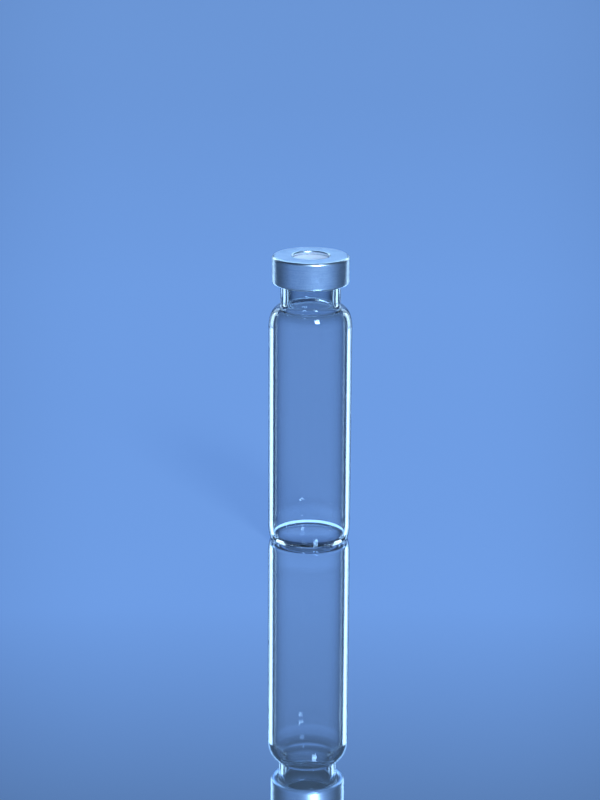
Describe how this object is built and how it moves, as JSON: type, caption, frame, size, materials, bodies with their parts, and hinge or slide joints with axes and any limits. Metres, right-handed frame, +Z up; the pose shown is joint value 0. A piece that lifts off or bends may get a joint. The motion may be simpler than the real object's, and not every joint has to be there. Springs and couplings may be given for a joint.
{
  "type": "glass sample vial",
  "caption": "Clear glass sample vial with a round shoulder and short neck, closed by a soft septum under a crimped aluminium cap with a needle hole.",
  "frame": {"origin": "centre of the flat glass ring that the vial stands on", "axes": "+Z up along the vial's own axis, from its base to its cap; +X and +Y are any two directions across it"},
  "size_m": [0.0225, 0.0224, 0.0794],
  "materials": {
    "clear_glass": "clear and fire polished",
    "septum_rubber": "smooth satin",
    "cap_aluminium": "satin, with a fine grain"
  },
  "bodies": {
    "root": {"glass_vial": "clear_glass", "septum": "septum_rubber", "crimp_cap": "cap_aluminium"}
  },
  "joints": []
}
